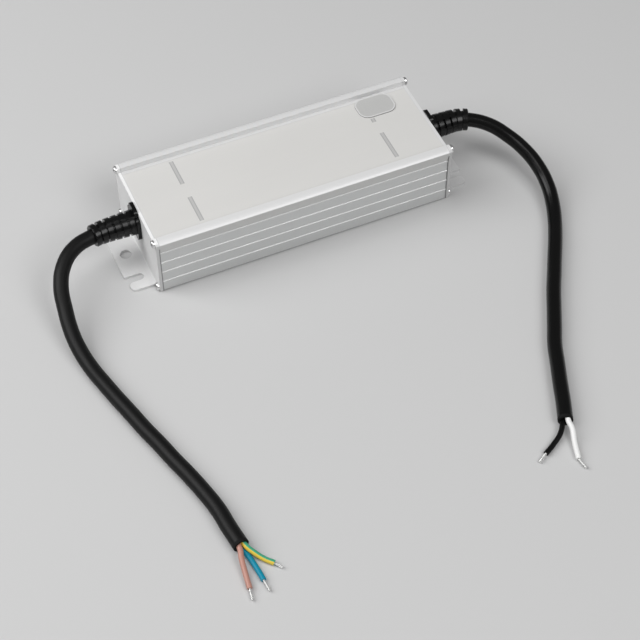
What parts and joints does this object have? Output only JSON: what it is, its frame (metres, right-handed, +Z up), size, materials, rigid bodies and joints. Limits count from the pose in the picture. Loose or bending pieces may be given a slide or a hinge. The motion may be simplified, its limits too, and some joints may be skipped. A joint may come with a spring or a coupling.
{
  "type": "sealed power supply",
  "caption": "Sealed LED power supply: ribbed aluminium case with footed end plates, moulded cable glands, free input and output leads and an adjuster plug.",
  "frame": {"origin": "middle of the case's footprint on the surface that the feet stand on", "axes": "+X along the case towards the output end; -Y towards the side that the free leads run to; +Z up, out of the top deck"},
  "size_m": [0.2758, 0.2518, 0.0373],
  "materials": {
    "anodised_case": "satin anodised",
    "plate_sheet": "satin",
    "gasket_rubber": "matte",
    "screw_steel": "bright",
    "gland_black": "matte",
    "input_jacket": "matte",
    "output_jacket": "glossy",
    "brown_insulation": "satin",
    "blue_insulation": "satin",
    "green_insulation": "satin",
    "black_insulation": "satin",
    "white_insulation": "satin",
    "tinned_wire": "bright",
    "plug_grey": "matte",
    "board_green": "satin",
    "film": "satin",
    "black_moulding": "matte",
    "blue_coating": "satin",
    "dark_coating": "satin",
    "ferrite": "matte",
    "enamelled_copper": "glossy",
    "yellow_case": "satin",
    "capacitor_sleeve": "glossy",
    "yellow_tape": "satin",
    "white_moulding": "satin",
    "blue_case": "satin",
    "brass": "satin"
  },
  "bodies": {
    "case": {"case_extrusion": "anodised_case", "end_plate_input": "plate_sheet", "end_plate_output": "plate_sheet", "end_gasket_input": "gasket_rubber", "end_gasket_output": "gasket_rubber", "end_screws_input": "screw_steel", "end_screws_output": "screw_steel", "cable_gland_input": "gland_black", "cable_gland_output": "gland_black", "input_cable": "input_jacket", "output_cable": "output_jacket", "brown_core": "brown_insulation", "blue_core": "blue_insulation", "earth_core": "green_insulation", "black_core": "black_insulation", "white_core": "white_insulation", "brown_tip": "tinned_wire", "blue_tip": "tinned_wire", "earth_tip": "tinned_wire", "black_tip": "tinned_wire", "white_tip": "tinned_wire", "adjuster_plug": "plug_grey", "circuit_board": "board_green", "insulating_film": "film", "input_leads": "brown_insulation", "output_leads": "black_insulation", "fuse": "black_moulding", "varistor": "blue_coating", "thermistor": "dark_coating", "choke_base": "black_moulding", "choke_core": "ferrite", "choke_windings": "enamelled_copper", "x_capacitors": "yellow_case", "y_capacitors": "blue_coating", "bridge_rectifier": "black_moulding", "boost_choke_core": "ferrite", "boost_choke_bobbin": "black_moulding", "boost_choke_winding": "enamelled_copper", "bulk_capacitor": "capacitor_sleeve", "power_transistors": "black_moulding", "output_rectifiers": "black_moulding", "heat_spreader": "plate_sheet", "device_screws": "screw_steel", "transformer_core": "ferrite", "transformer_bobbin": "black_moulding", "transformer_winding": "yellow_tape", "output_capacitors": "capacitor_sleeve", "output_choke_core": "ferrite", "output_choke_winding": "enamelled_copper", "optocouplers": "white_moulding", "control_chips": "black_moulding", "adjuster_board": "board_green", "voltage_trimmer": "blue_case", "current_trimmer": "blue_case"},
    "voltage_rotor": {"voltage_rotor": "brass"},
    "current_rotor": {"current_rotor": "brass"}
  },
  "joints": [
    {"name": "voltage_adjust", "type": "hinge", "parent": "case", "child": "voltage_rotor", "pos_m": [0.0563, 0.01905, 0.029], "axis": [0, 0, 1], "range_deg": [-130, 130]},
    {"name": "current_adjust", "type": "hinge", "parent": "case", "child": "current_rotor", "pos_m": [0.0658, 0.01905, 0.029], "axis": [0, 0, 1], "range_deg": [-130, 130]}
  ]
}
